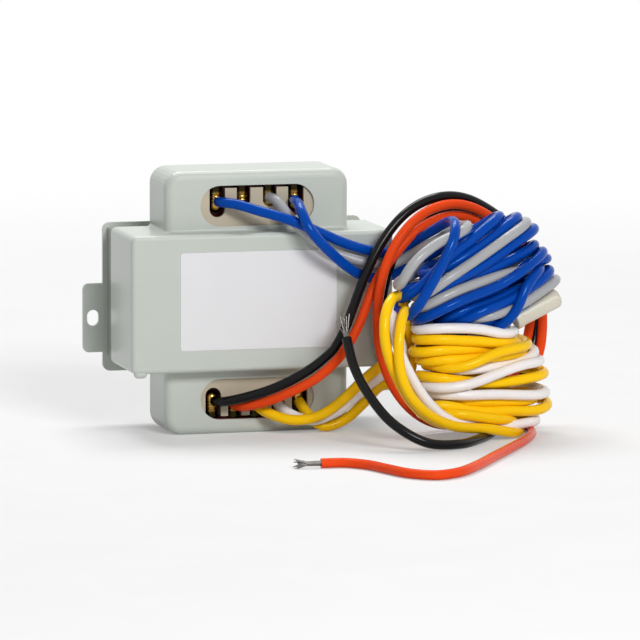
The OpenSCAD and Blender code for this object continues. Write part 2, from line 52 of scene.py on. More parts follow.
ROUTES = {
    "blue_lead_left": [(-11.8, LEAD_Y, 71), (-11.2, -13.6, 71), (-7.4, -16.8, 70.6), (-1.6, -20, 68.9),
                       (5, -23.2, 67), (11, -25.2, 64.7), (17, -26, 62), (24.3, -25.6, 58.8),
                       (32.5, -24.3, 56.2), (39.3, -22.3, 55.2), (42.5, -22.4, 56.2), (45.2, -24, 57.9),
                       (47.2, -27.2, 60), (48.2, -28.9, 61)],
    "gray_lead": [(4.1, LEAD_Y, 72), (5.5, -15, 71.2), (7.8, -18.8, 67.6), (11.2, -21.7, 63.3),
                  (16.7, -22.1, 58.8), (22, -22.5, 55.6), (27.5, -23.3, 53.6), (32.3, -23.9, 52.4),
                  (37.3, -22.6, 51.6), (41.7, -22.5, 52.2), (44.7, -24.9, 54.5), (46.7, -28.2, 56.4),
                  (47.3, -29.2, 57)],
    "blue_lead_right": [(11.8, LEAD_Y, 71), (11, -16.2, 71.2), (10.5, -22.4, 70.5), (10.5, -27, 68.2),
                        (11.9, -29.4, 64.3), (15.6, -29.6, 59.7), (20.5, -28, 55.1), (25.8, -26.1, 51),
                        (31.4, -24.4, 48.1), (36.6, -22.8, 47.7), (40.2, -23.4, 48.6), (43.1, -26.3, 50.5),
                        (46, -29.4, 52.3)],
    "black_lead": [(-13.1, LEAD_Y, 10), (-11, -16.5, 10.5), (-4, -20.5, 12.5), (3, -23.5, 15.2),
                   (9.5, -26.5, 18.9), (15.5, -28.5, 23.2), (21.5, -30.1, 29.5)],
    "orange_lead": [(-6.8, LEAD_Y, 8.5), (-5, -16.5, 8.8), (1.5, -21.5, 11), (8.5, -26, 14.7),
                    (15, -30, 19.2), (22, -33.3, 27)],
    "yellow_lead_left": [(0, LEAD_Y, 8.5), (1.5, -16.5, 7), (9, -21, 4.7), (17, -22.5, 6), (24, -23, 10.5),
                         (30, -23.5, 16), (36, -27.2, 21.6), (42, -33.9, 23.9)],
    "white_lead": [(6.8, LEAD_Y, 8.5), (8.2, -15.5, 6.7), (15, -19.2, 4.2), (23, -19.8, 6.5),
                   (29.5, -20.5, 11.5), (36, -24.7, 17.8), (42, -33.9, 20.1)],
    "yellow_lead_right": [(13.6, LEAD_Y, 9), (14.6, -15.5, 6.5), (19.5, -16.8, 1.9), (26.5, -16.8, 3.6),
                          (32, -18.2, 8.6), (36.5, -22.3, 14.4), (42, -33.8, 16.4)],
    "capped": [(66.3, -36.5, 41), (69.2, -36.2, 36.5), (73.6, -35.7, 35.1)],
    "black_tail": [(67.8, -24.9, 1.5), (68.5, -31, 1.5), (66, -41, 1.5), (59, -52, 1.5), (50, -61, 1.5),
                   (39, -64, 2.8), (29.5, -60.5, 8.5), (24, -53, 16.5), (21.7, -45, 24), (21.2, -38.7, 31.5)],
    "orange_tail": [(70.4, -22.3, 1.5), (76.5, -25.5, 1.5), (79.6, -32, 1.5), (78.5, -42, 1.5),
                    (72.5, -56, 1.5), (63, -72, 1.5), (53, -88, 1.5), (43, -104, 1.5), (34, -115.5, 1.5),
                    (26.5, -119, 1.5), (20, -114, 1.5), (16, -104, 1.5), (12.5, -94.5, 1.5), (7, -88.8, 1.5),
                    (0, -88, 1.5)],
}

# The coil of the mains leads stands upright, and the two hanks lean on its front
COIL_AT = np.array([57.3, -23.8, 36.4])
COIL_YAW = math.radians(14)
ALONG = np.array([math.cos(COIL_YAW), math.sin(COIL_YAW), 0])
FRONT = np.array([math.sin(COIL_YAW), -math.cos(COIL_YAW), 0])
UP = np.array([0, 0, 1.0])
HANK_FRONT = 14.3
TOP_HANK = {"x": 3.8, "z": 51.7, "tilt": math.radians(28), "drop": 5.0}
LOW_HANK = {"x": 3.0, "z": 17.6, "tilt": 0.0, "drop": 0.0}

# Coil turns: angle from the left over the top, in degrees, radius, and place in front of the coil's plane
BLACK_COIL = [(-10, 36.4, -2), (2, 33.8, -1), (15, 32, -0.5), (30, 31.7, -0.5), (43, 32.3, -0.5),
              (57, 34, -0.5), (67, 35.3, -0.5), (77, 35.9, -0.5), (90, 36.2, -0.5), (102, 35.8, -1),
              (116, 34, -1.5), (150, 33.2, -2.5), (195, 33.4, -3), (230, 32, -3.5), (265, 29.5, -4),
              (300, 26, -4), (340, 22.8, -3.5), (375, 22, -3), (397, 24, -3), (415, 27.4, -3), (427, 29, -3),
              (450, 31, -3), (480, 31.4, -2.5), (540, 32, -1), (580, 33.8, 1.5), (611, 36.2, 3.5)]
ORANGE_COIL = [(-14, 36.8, 0.7), (-8, 32.8, 0.4), (0, 30, 0), (14, 28.2, -0.5), (26, 27.2, -1),
               (36, 26.4, -1.2), (46, 26.2, -1.2), (63, 27.4, -0.8), (76, 29, -0.4), (88, 30.1, 0),
               (98, 30.6, 0), (115, 29.4, -0.4), (150, 29.6, -0.4), (195, 30.4, -0.2), (240, 32.6, 1.2),
               (275, 34.7, 3), (294, 33, 3.4),
               (306, 31.2, 3.4), (321, 29.5, 3.4), (337, 27.8, 3.4), (353, 27, 3.4), (367, 27, 3.4),
               (380, 27.7, 3.4), (392, 28.8, 3.4), (404, 30.3, 3.4), (415, 31.6, 3.3), (426, 33, 3.2),
               (435, 33.9, 3), (450, 34.2, 2.8), (464, 33.2, 2.4), (473, 31.9, 2), (500, 31.2, 1.2),
               (560, 33, 0.6), (590, 35.5, 1), (608, 37.2, 1.6)]

# Front passes of the hank turns in the way the lead runs: depth in front of the hank's middle, then points
# along and across it
TOP_PASSES = {
    "blue_lead_left": [
        (7.0, [(11.3, 10), (5, 9.2), (-2, 8.8), (-13, 9.8)]),
        (8.0, [(13.5, 4.2), (-2, 3.4), (-17, 4.6)]),
        (9.5, [(10.5, -4.2), (-7, -3), (-20, 0.4)]),
        (7.0, [(8, -11), (-5, -9), (-15, -6)]),
        (6.0, [(3, -15), (-8, -13), (-18, -9.5)]),
    ],
    "blue_lead_right": [
        (7.0, [(6, 13.6), (-1, 12), (-10, 11.6), (-18, 10), (-21.5, 7)]),
        (6.5, [(13.3, -1.6), (-2, 0.4), (-15, 1)]),
        (7.0, [(14.4, -5.5), (0, -6), (-15, -2.4)]),
        (8.0, [(12.2, -9.5), (2, -11.6), (-12, -8.5)]),
        (10.0, [(7, -6.5), (3.2, -10.1), (-1.4, -14.1), (-6, -16.4)]),
    ],
    "gray_lead": [
        (9.5, [(10.3, 7.4), (-2, 7), (-18, 7)]),
        (8.0, [(9, -5), (-5, -0.6), (-20, 3)]),
        (8.0, [(12.8, -13.6), (7, -13.8), (0, -13), (-12, -9.6)]),
    ],
}
LOW_PASSES = {
    "yellow_lead_left": [
        (6.0, [(-20, -11), (-5, -12.5), (10, -12.8)]),
        (7.5, [(-7, -6.2), (0, -7.2), (12, -6.8)]),
        (7.0, [(-15, 2.2), (-3, -0.6), (16, 0.5)]),
        (7.0, [(-15, 6.8), (0, 7.6), (9, 7.2)]),
        (7.5, [(-16, 14), (-6, 12.6), (6.5, 10.4)]),
    ],
    "white_lead": [
        (8.0, [(-19, -8.2), (-12.7, -10.8), (-2.9, -12.2), (12, -14.2)]),
        (9.0, [(-9.5, -3.6), (0, -3.6), (14, -5.2)]),
        (9.5, [(-12, -0.6), (-4, 1.4), (10.7, 6)]),
        (7.5, [(-9.5, 4.4), (0, 5), (12, 6.6)]),
        (8.0, [(-16, 17.4), (-8, 17.8), (4, 14.6)]),
    ],
    "yellow_lead_right": [
        (10.0, [(-20, -10.4), (-12, -12.8), (3, -14)]),
        (9.0, [(-12, -8.6), (-2, -11.8), (4, -13.6)]),
        (8.0, [(-14, -8), (2, -9.2), (16, -10)]),
        (6.5, [(-18, 9.6), (-8, 10.6), (6, 9)]),
        (10.0, [(-8.5, 5.4), (-1, 10), (5.5, 10.6)]),
    ],
}
# Loops that the leads make before their first pass: place along, across and in front of the hank's middle
TOP_LOOPS = {
    "blue_lead_left": [(-5.2, 16.8, -5.3), (-3.2, 18.6, -1), (-3, 20, 3.8), (-5, 19.6, 8), (-8.8, 17.8, 10.8),
                       (-13.1, 15.1, 11.4), (-17.6, 12.2, 11.4), (-24.5, 8, 11), (-29.5, 4.6, 9.5),
                       (-32, 2, 4.5), (-30.5, 0.8, -1.5), (-25, 2, -6.5), (-12, 5, -8.5)],
    "gray_lead": [(-9, 12.7, -5.6), (-4, 13.4, -6), (-0.4, 14.2, -3.2), (0.6, 15.2, 2), (-0.8, 16.4, 7),
                  (-4, 17.4, 9.8), (-9, 18.3, 10.4), (-15, 18.8, 10.4), (-21, 18.7, 10.2), (-25, 18, 10.2),
                  (-28, 16.6, 10), (-30, 14.2, 9), (-30.8, 11.6, 6), (-29.8, 9.6, 1), (-26, 8.2, -4),
                  (-18, 7, -8), (-6, 5, -9)],
    "blue_lead_right": [(-10, 9.4, -8.3), (-4, 9.4, -7.5)],
}
LOW_LOOPS = {
    "yellow_lead_left": [(-22.5, 16, -7.5), (-25.2, 24.6, -3), (-29.5, 28.4, 0.8), (-34.2, 27, 4),
                         (-38, 20.4, 7), (-37.4, 10.9, 8), (-34.3, 4.8, 8), (-29, -4, 7)],
    "white_lead": [(-22, 12, -8), (-25.5, 19.5, -4.5), (-29.5, 23, 0.5), (-33, 20.5, 5), (-33.4, 13, 6.5),
                   (-30.5, 7.6, 7.2), (-27.3, 0.5, 8), (-23.5, -4.5, 8)],
    "yellow_lead_right": [(-20.5, 9, -8.5), (-23, 18.5, -5), (-26, 23, 0.5), (-29.8, 23.8, 6),
                          (-32.6, 21, 8.5), (-34.5, 15.8, 10.3), (-35, 7, 11.2), (-32.6, -0.4, 11.4),
                          (-27, -6.7, 11.2)],
}
# Last points of the two leads that tuck their ends into the hank, in the same places
TUCKED_ENDS = {
    "gray_lead": [(-16.5, -9.4, 6), (-18, -9, 2), (-15.5, -8.8, -2.2), (-10, -9.2, -3)],
    "blue_lead_right": [(-9, -17.4, 6), (-9.5, -17, 0), (-5, -15, -5), (2, -13, -6)],
}
HIDDEN_RUN = (0, 10, 22)  # how far the other leads run back behind the hank after their last fold
FOLD_LEAN = 0.2  # share of the way across to the next pass that a fold makes
COIL_STEP = 12  # degrees between two points of a coil's turn
SPAN_POINTS = 24  # points of a smooth curve between two given ones
ROUTE_SLACK = 2  # points at the end of a route that are free to settle
TAIL_SLACK = 8  # points at the start of a tail that are free to settle
CAP_HELD = 3  # points that the end cap holds


def hank_point(hank, s, t, w):
    """World point of a hank's own coordinates: s along it, t across it, w in front of its middle."""
    tilt = hank["tilt"]
    middle = COIL_AT * (1, 1, 0) + ALONG * hank["x"] + FRONT * HANK_FRONT + UP * hank["z"]
    along = ALONG * math.cos(tilt) + UP * math.sin(tilt)
    across = UP * math.cos(tilt) - ALONG * math.sin(tilt)
    return middle + along * s + across * t + FRONT * w


def fold(start, stop, side, depth):
    """Half a turn round a hank's end, from one depth to the other."""
    points = []
    for angle in (0.25, 0.5, 0.75):
        swing = math.pi * angle
        s = start[0] + (stop[0] - start[0]) * angle + side * abs(depth) * math.sin(swing)
        t = start[1] + (stop[1] - start[1]) * angle
        points.append((s, t, depth * math.cos(swing)))
    return points


def hank_turns(passes, drop):
    """Front passes joined by folds and by passes behind, which come up by the drop as they fold forward."""
    points = []
    for k, (depth, front) in enumerate(passes):
        start, stop = front[0], front[-1]
        way = 1 if stop[0] > start[0] else -1
        if k or drop:
            back = (start[0], start[1] - drop)
            points += [(*back, -depth)] + fold(back, start, -way, -depth)
        points += [(s, t, depth) for s, t in front]
        if k + 1 < len(passes):
            back = (stop[0], stop[1] + (passes[k + 1][1][0][1] - drop - stop[1]) * FOLD_LEAN)
            points += fold(stop, back, way, depth) + [(*back, -depth)]
    return points


def coil_turns(keys):
    """Turns of the upright coil, between keys of angle, radius and place in front of its plane."""
    angles, radii, fronts = np.array(keys, float).T
    points = []
    for angle in np.arange(angles[0] + COIL_STEP, angles[-1] - COIL_STEP / 2, COIL_STEP):
        radius = np.interp(angle, angles, radii)
        place = np.interp(angle, angles, fronts)
        turn = math.radians(angle)
        points.append(COIL_AT - ALONG * radius * math.cos(turn) + UP * radius * math.sin(turn)
                      + FRONT * place)
    return points


def smooth_line(points, step):
    """Points at an even step along a smooth curve through the given points."""
    p = np.array(points, float)
    p = np.vstack([2 * p[0] - p[1], p, 2 * p[-1] - p[-2]])
    knots = np.concatenate([[0], np.cumsum(np.linalg.norm(np.diff(p, axis=0), axis=1) ** 0.5)])
    dense = []
    for i in range(1, len(p) - 2):
        t0, t1, t2, t3 = knots[i - 1:i + 3]
        t = np.linspace(t1, t2, SPAN_POINTS, endpoint=False)[:, None]
        a1 = (t1 - t) / (t1 - t0) * p[i - 1] + (t - t0) / (t1 - t0) * p[i]
        a2 = (t2 - t) / (t2 - t1) * p[i] + (t - t1) / (t2 - t1) * p[i + 1]
        a3 = (t3 - t) / (t3 - t2) * p[i + 1] + (t - t2) / (t3 - t2) * p[i + 2]
        b1 = (t2 - t) / (t2 - t0) * a1 + (t - t0) / (t2 - t0) * a2
        b2 = (t3 - t) / (t3 - t1) * a2 + (t - t1) / (t3 - t1) * a3
        dense.append((t2 - t) / (t2 - t1) * b1 + (t - t1) / (t2 - t1) * b2)
    dense = np.vstack(dense + [p[-2:-1]])
    run = np.concatenate([[0], np.cumsum(np.linalg.norm(np.diff(dense, axis=0), axis=1))])
    count = int(round(run[-1] / step)) + 1
    at = np.linspace(0, run[-1], count)
    return np.stack([np.interp(at, run, dense[:, k]) for k in range(3)], axis=1)


def lead_plan(name):
    """First line of a lead, with how many points at its start and its end stay where they are."""
    route = [np.array(p, float) for p in ROUTES[name]]
    if name in ("black_lead", "orange_lead"):
        tail = [np.array(p, float) for p in ROUTES[name.replace("lead", "tail")]]
        keys = BLACK_COIL if name == "black_lead" else ORANGE_COIL
        line = smooth_line(route + coil_turns(keys) + tail, STEP)
        held_end = len(smooth_line(tail, STEP)) - TAIL_SLACK
        return line, len(smooth_line(route, STEP)) - ROUTE_SLACK, held_end
    top = name in TOP_PASSES
    hank = TOP_HANK if top else LOW_HANK
    loops = (TOP_LOOPS if top else LOW_LOOPS)[name]
    passes = (TOP_PASSES if top else LOW_PASSES)[name]
    turns = hank_turns(passes, hank["drop"])
    depth, front = passes[-1]
    stop = front[-1]
    held_end = 0
    if name in TUCKED_ENDS:
        turns += TUCKED_ENDS[name]
    else:
        way = 1 if stop[0] > front[0][0] else -1
        turns += fold(stop, (stop[0], stop[1] - 1), way, depth)
        turns += [(stop[0] - way * reach, stop[1] - 2, -depth) for reach in HIDDEN_RUN]
    points = route + [hank_point(hank, *p) for p in loops + turns]
    if name == "gray_lead":
        points += [np.array(p, float) for p in ROUTES["capped"]]
        held_end = CAP_HELD
    return smooth_line(points, STEP), len(smooth_line(route, STEP)) - ROUTE_SLACK, held_end


LEADS = {name: LEAD_D for name in ("blue_lead_left", "gray_lead", "blue_lead_right", "yellow_lead_left",
                                   "white_lead", "yellow_lead_right")}
LEADS.update(black_lead=MAINS_D, orange_lead=MAINS_D)

# Relaxation of the leads
RELAX_ROUNDS = 160
PULL = 0.05  # how firmly a point is pulled home
MAINS_PULL = 0.15  # the same for the mains leads
LEAST_PULL = 0.3  # share of the pull that is left in the last rounds
OWN_REACH = 2.2  # diameters along a lead within which its own points don't push each other
TOUCH_DAMPING = 0.5  # how much each touch damps a push
BEND_EASE = 0.15  # how far each round eases a bend
LAST_ROUNDS = 10  # rounds of easing alone, at the end
LAST_EASE = 0.6
TINY = 1e-6


def relax(lines, diameters, held, rounds):
    """Moves crowded leads apart and keeps their lengths; it doesn't clear every crossing."""
    place = np.vstack(lines)
    home = place.copy()
    lead = np.concatenate([np.full(len(p), k) for k, p in enumerate(lines)])
    order = np.arange(len(place))
    radius = np.concatenate([np.full(len(p), d / 2) for p, d in zip(lines, diameters)])
    free = np.ones(len(place))
    firm = np.full(len(place), PULL)
    starts = np.concatenate([[0], np.cumsum([len(p) for p in lines])])
    for k, (head, tail) in enumerate(held):
        free[starts[k]:starts[k] + head] = 0
        if tail:
            free[starts[k + 1] - tail:starts[k + 1]] = 0
        if diameters[k] == MAINS_D:
            firm[starts[k]:starts[k + 1]] = MAINS_PULL
    along = np.abs(order[:, None] - order[None]) * STEP
    near = (along < OWN_REACH * LEAD_D) & (lead[:, None] == lead[None])
    apart = ~near & (order[:, None] < order[None])
    reach = (radius[:, None] + radius[None]).astype(np.float32)
    inside = np.nonzero((lead[1:-1] == lead[:-2]) & (lead[1:-1] == lead[2:]))[0] + 1
    links = np.nonzero(lead[1:] == lead[:-1])[0]
    span = np.linalg.norm(place[links + 1] - place[links], axis=1)
    for k in range(rounds):
        fade = max(LEAST_PULL, 1 - k / rounds)
        place += (home - place) * (firm * fade * free)[:, None]
        p32 = place.astype(np.float32)
        square = (p32 ** 2).sum(1)
        gap2 = square[:, None] + square[None] - 2 * p32 @ p32.T
        i, j = np.nonzero((gap2 < reach ** 2) & apart)
        away = place[i] - place[j]
        gap = np.maximum(np.linalg.norm(away, axis=1), TINY)
        share = free[i] + free[j]
        push = np.where(share > 0, (radius[i] + radius[j] - gap) / np.maximum(share, TINY), 0)
        away *= (push / gap)[:, None]
        shift = np.zeros_like(place)
        hits = np.ones(len(place))
        np.add.at(shift, i, away * free[i][:, None])
        np.add.at(shift, j, -away * free[j][:, None])
        np.add.at(hits, i, TOUCH_DAMPING)
        np.add.at(hits, j, TOUCH_DAMPING)
        place += shift / hits[:, None]
        bend = (place[inside - 1] + place[inside + 1]) / 2 - place[inside]
        place[inside] += bend * (BEND_EASE * free[inside])[:, None]
        for parity in (0, 1):
            a = links[links % 2 == parity]
            want = span[links % 2 == parity]
            d = place[a + 1] - place[a]
            size = np.linalg.norm(d, axis=1)
            total = np.maximum(free[a] + free[a + 1], TINY)
            d *= ((size - want) / np.maximum(size, TINY) / total)[:, None]
            place[a] += d * free[a][:, None]
            place[a + 1] -= d * free[a + 1][:, None]
        place[:, 2] = np.where(free > 0, np.maximum(place[:, 2], radius), place[:, 2])
    for _ in range(LAST_ROUNDS):
        bend = (place[inside - 1] + place[inside + 1]) / 2 - place[inside]
        place[inside] += bend * (LAST_EASE * free[inside])[:, None]
    place[:, 2] = np.where(free > 0, np.maximum(place[:, 2], radius), place[:, 2])
    return [place[starts[k]:starts[k + 1]] for k in range(len(lines))]


# Node-based materials
RAMP_ENDS = (0.3, 0.7)
ROUGH_VARY = 0.15  # share by which roughness varies over a surface
CLOUD = 0.08  # scale of the clouds of colour beside the grain's
RELIEF = 0.0004  # depth of fine relief in metres
ONE_BAND = 2 * math.pi / 20  # wave scale that gives one band a metre
SHEET_GRAIN = 900
PART_MIDDLE = 0.04025
ROOT_SHADE_FROM = 0.0055  # height from the part's bottom or top at which the painted shade at the roots starts to fade
ROOT_SHADE_TO = 0.0085  # and at which it has gone
BRASS_GRAIN = 700


def new_material(name):
    mat = bpy.data.materials.new(name)
    mat.use_nodes = True
    tree = mat.node_tree
    return mat, tree, tree.nodes["Principled BSDF"]


def add(tree, kind, **values):
    node = tree.nodes.new(kind)
    for key, value in values.items():
        if key in node.inputs:
            node.inputs[key].default_value = value
        else:
            setattr(node, key, value)
    return node


def object_coords(tree):
    return add(tree, "ShaderNodeTexCoord").outputs["Object"]


def noise_at(tree, scale, detail=3.0):
    node = add(tree, "ShaderNodeTexNoise", Scale=scale, Detail=detail)
    tree.links.new(object_coords(tree), node.inputs["Vector"])
    return node.outputs["Fac"]


def shade_between(tree, fac, low, high):
    ramp = add(tree, "ShaderNodeValToRGB")
    tree.links.new(fac, ramp.inputs["Fac"])
    for stop, place, color in zip(ramp.color_ramp.elements, RAMP_ENDS, (low, high)):
        stop.position = place
        stop.color = (*color, 1)
    return ramp.outputs["Color"]


def bump_of(tree, fac, bsdf, strength, distance):
    bump = add(tree, "ShaderNodeBump", Strength=strength, Distance=distance)
    tree.links.new(fac, bump.inputs["Height"])
    tree.links.new(bump.outputs["Normal"], bsdf.inputs["Normal"])


def spread(tree, fac, low, high):
    node = add(tree, "ShaderNodeMapRange")
    node.inputs["To Min"].default_value = low
    node.inputs["To Max"].default_value = high
    tree.links.new(fac, node.inputs["Value"])
    return node.outputs["Result"]


def roughen(tree, fac, bsdf, roughness, vary=ROUGH_VARY):
    mixed = spread(tree, fac, roughness * (1 - vary), roughness * (1 + vary))
    tree.links.new(mixed, bsdf.inputs["Roughness"])


def toned(color, factor):
    return tuple(min(1.0, c * factor) for c in color)


def finish_of(name, color, roughness, grain, bump=0.02, vary=0.06, metallic=0.0, **sockets):
    """A surface with fine grain: its colour, gloss and relief vary with noise at that scale."""
    mat, tree, bsdf = new_material(name)
    cloud = noise_at(tree, grain * CLOUD)
    fine = noise_at(tree, grain)
    tone = shade_between(tree, cloud, toned(color, 1 - vary), toned(color, 1 + vary))
    tree.links.new(tone, bsdf.inputs["Base Color"])
    roughen(tree, fine, bsdf, roughness)
    bump_of(tree, fine, bsdf, bump, RELIEF)
    bsdf.inputs["Metallic"].default_value = metallic
    for key, value in sockets.items():
        bsdf.inputs[key].default_value = value
    return mat


def layered(name, color, dark, pitch, roughness, metallic):
    """Sheets or turns of wire lying side by side: fine bands along z with darker lines between them."""
    mat, tree, bsdf = new_material(name)
    wave = add(tree, "ShaderNodeTexWave", bands_direction="Z", Scale=ONE_BAND / pitch, Distortion=0.4)
    tree.links.new(object_coords(tree), wave.inputs["Vector"])
    tree.links.new(shade_between(tree, wave.outputs["Fac"], dark, color), bsdf.inputs["Base Color"])
    roughen(tree, noise_at(tree, SHEET_GRAIN), bsdf, roughness, vary=0.2)
    bump_of(tree, wave.outputs["Fac"], bsdf, 0.3, RELIEF / 2)
    bsdf.inputs["Metallic"].default_value = metallic
    return mat


def brass_with_painted_root_shade(name, color, dark, roughness):
    """Turned brass with painted shade: dark at the roots, which are the ends away from the part's middle."""
    mat, tree, bsdf = new_material(name)
    apart = add(tree, "ShaderNodeSeparateXYZ")
    tree.links.new(object_coords(tree), apart.inputs["Vector"])
    height = add(tree, "ShaderNodeMath", operation="SUBTRACT")
    tree.links.new(apart.outputs["Z"], height.inputs[0])
    height.inputs[1].default_value = PART_MIDDLE
    away = add(tree, "ShaderNodeMath", operation="ABSOLUTE")
    tree.links.new(height.outputs[0], away.inputs[0])
    painted_root_shade = add(tree, "ShaderNodeMapRange")
    painted_root_shade.inputs["From Min"].default_value = PART_MIDDLE - ROOT_SHADE_TO
    painted_root_shade.inputs["From Max"].default_value = PART_MIDDLE - ROOT_SHADE_FROM
    tree.links.new(away.outputs[0], painted_root_shade.inputs["Value"])
    # painted shade: the colour goes dark towards the roots, where the posts stand in shade inside the cover
    tree.links.new(shade_between(tree, painted_root_shade.outputs["Result"], color, dark), bsdf.inputs["Base Color"])
    fine = noise_at(tree, BRASS_GRAIN)
    roughen(tree, fine, bsdf, roughness)
    bump_of(tree, fine, bsdf, 0.015, RELIEF)
    bsdf.inputs["Metallic"].default_value = 1.0
    return mat


def insulation_of(name, color, sheen=(1, 1, 1), gloss=0.22):
    """Extruded PVC: an even colour, a gloss tinted by the colour and faint drawing marks."""
    return finish_of(name, color, 0.16, 500, bump=0.012, vary=0.035,
                     **{"Specular IOR Level": gloss, "Specular Tint": (*sheen, 1)})


PAINT = finish_of("paint", (0.5, 0.535, 0.49), 0.36, 850, bump=0.03, vary=0.012,
                  **{"Specular IOR Level": 0.35, "Coat Weight": 0.25, "Coat Roughness": 0.12})
BLUE = insulation_of("blue_pvc", (0.0, 0.052, 0.35), (0.3, 0.55, 1))
GRAY = insulation_of("gray_pvc", (0.37, 0.375, 0.385))
YELLOW = insulation_of("yellow_pvc", (0.94, 0.56, 0.004), (1, 0.85, 0.4))
WHITE = insulation_of("white_pvc", (0.84, 0.81, 0.8))
BLACK = insulation_of("black_pvc", (0.005, 0.005, 0.0055), (0.7, 0.7, 0.7))
ORANGE = insulation_of("orange_pvc", (0.78, 0.066, 0.012), (1, 0.4, 0.25), 0.06)
COMB = finish_of("comb_plastic", (0.46, 0.4, 0.3), 0.42, 600)
# the second colour is painted shade at the roots of the terminal posts
BRASS = brass_with_painted_root_shade("brass", (0.4, 0.235, 0.055), (0.025, 0.018, 0.007), 0.16)
STEEL = layered("core_steel", (0.05, 0.05, 0.048), (0.012, 0.011, 0.01), 0.0005, 0.5, 0.5)
PAINTED_STEEL = layered("painted_laminations", (0.36, 0.38, 0.35), (0.2, 0.21, 0.19), 0.0005, 0.45, 0.0)
RIVET = finish_of("rivet_steel", (0.32, 0.32, 0.31), 0.35, 1500, metallic=1.0)
DARK = finish_of("bobbin_plastic", (0.16, 0.014, 0.01), 0.45, 600)
COPPER = layered("copper", (0.55, 0.22, 0.08), (0.16, 0.05, 0.02), 0.0006, 0.3, 1.0)
TAPE = finish_of("tape", (0.6, 0.42, 0.08), 0.4, 500)
LABEL = finish_of("label", (0.7, 0.7, 0.715), 0.4, 900, bump=0.02, vary=0.008)
NYLON = finish_of("nylon", (0.6, 0.575, 0.48), 0.38, 700,
                  **{"Subsurface Weight": 0.25, "Subsurface Scale": 0.002})
TINNED = finish_of("tinned_copper", (0.2, 0.19, 0.18), 0.35, 2500, vary=0.25, metallic=1.0)

SURFACES = {
    "front_cover": PAINT, "mounting_bracket": PAINT, "core_e_stack": STEEL, "core_i_stack": PAINTED_STEEL,
    "core_rivets": RIVET, "bobbin": DARK, "mains_winding": COPPER, "first_insulation": TAPE,
    "heavy_winding": COPPER, "second_insulation": TAPE, "light_winding": COPPER, "outer_wrap": TAPE,
    "upper_lead_comb": COMB, "lower_lead_comb": COMB, "label": LABEL,
}
for node, surface in SURFACES.items():
    nodes[node].data.materials.clear()
    nodes[node].data.materials.append(surface)

LEAD_LOOKS = {
    "blue_lead_left": (BLUE, "blue_pvc", ["blue_lead_left", "blue_gray_hank"]),
    "gray_lead": (GRAY, "gray_pvc", ["gray_lead", "capped_lead_end"]),
    "blue_lead_right": (BLUE, "blue_pvc", ["blue_lead_right"]),
    "yellow_lead_left": (YELLOW, "yellow_pvc", ["yellow_lead_left", "yellow_white_hank"]),
    "white_lead": (WHITE, "white_pvc", ["white_lead"]),
    "yellow_lead_right": (YELLOW, "yellow_pvc", ["yellow_lead_right"]),
    "black_lead": (BLACK, "black_pvc", ["black_lead", "black_orange_coil", "black_tail"]),
    "orange_lead": (ORANGE, "orange_pvc", ["orange_lead", "orange_tail"]),
}


def lead_curve(name, line, diameter, surface):
    """A lead as one tube-shaped curve along its line."""
    curve = bpy.data.curves.new(name + "_wire", "CURVE")
    curve.dimensions = "3D"
    curve.bevel_depth = diameter / 2 * MM
    curve.bevel_resolution = 4
    curve.use_fill_caps = True
    spline = curve.splines.new("POLY")
    spline.points.add(len(line) - 1)
    flat = np.hstack([line * MM, np.ones((len(line), 1))]).ravel()
    spline.points.foreach_set("co", flat)
    spline.use_smooth = True
    curve.materials.append(surface)
    piece = bpy.data.objects.new(name + "_wire", curve)
    bpy.context.scene.collection.objects.link(piece)
    return piece


def sweep(bm, line, radius, sides=6):
    """A thin round bar along a line of points, closed at both ends."""
    line = [Vector(p) for p in line]
    across = Vector((0.3, 0.2, 1.0))
    rings = []
    for k, point in enumerate(line):
        way = (line[min(k + 1, len(line) - 1)] - line[max(k - 1, 0)]).normalized()
        across = (across - way * across.dot(way)).normalized()
        second = way.cross(across)
        rings.append([bm.verts.new(point + (across * math.cos(a) + second * math.sin(a)) * radius)
                      for a in np.linspace(0, 2 * math.pi, sides, endpoint=False)])
    for low, high in zip(rings, rings[1:]):
        for k in range(sides):
            bm.faces.new((low[k], low[(k + 1) % sides], high[(k + 1) % sides], high[k]))
    bm.faces.new(rings[0][::-1])
    bm.faces.new(rings[-1])


def turned(bm, profile, base, sign, sides=40):
    """A turned pin: rings of a profile of (radius, height) pairs round a line along z."""
    rings = []
    for radius, height in profile:
        rings.append([bm.verts.new(base + Vector((radius * math.cos(a), radius * math.sin(a), sign * height)))
                      for a in np.linspace(0, 2 * math.pi, sides, endpoint=False)])
    for low, high in zip(rings, rings[1:]):
        for k in range(sides):
            ring = (low[k], low[(k + 1) % sides], high[(k + 1) % sides], high[k])
            bm.faces.new(ring if sign > 0 else ring[::-1])
    bm.faces.new(rings[0][::-1] if sign > 0 else rings[0])
    bm.faces.new(rings[-1] if sign > 0 else rings[-1][::-1])


def mesh_piece(name, bm, surface, solids, smooth=0.6):
    """A mesh object with smooth shading up to an angle, riding on the body in place of its solids."""
    mesh = bpy.data.meshes.new(name)
    bmesh.ops.recalc_face_normals(bm, faces=bm.faces)
    bm.to_mesh(mesh)
    bm.free()
    mesh.shade_smooth()
    mesh.set_sharp_from_angle(angle=smooth)
    mesh.materials.append(surface)
    piece = bpy.data.objects.new(name, mesh)
    bpy.context.scene.collection.objects.link(piece)
    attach(piece, BODY)
    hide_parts(*solids)
    return piece


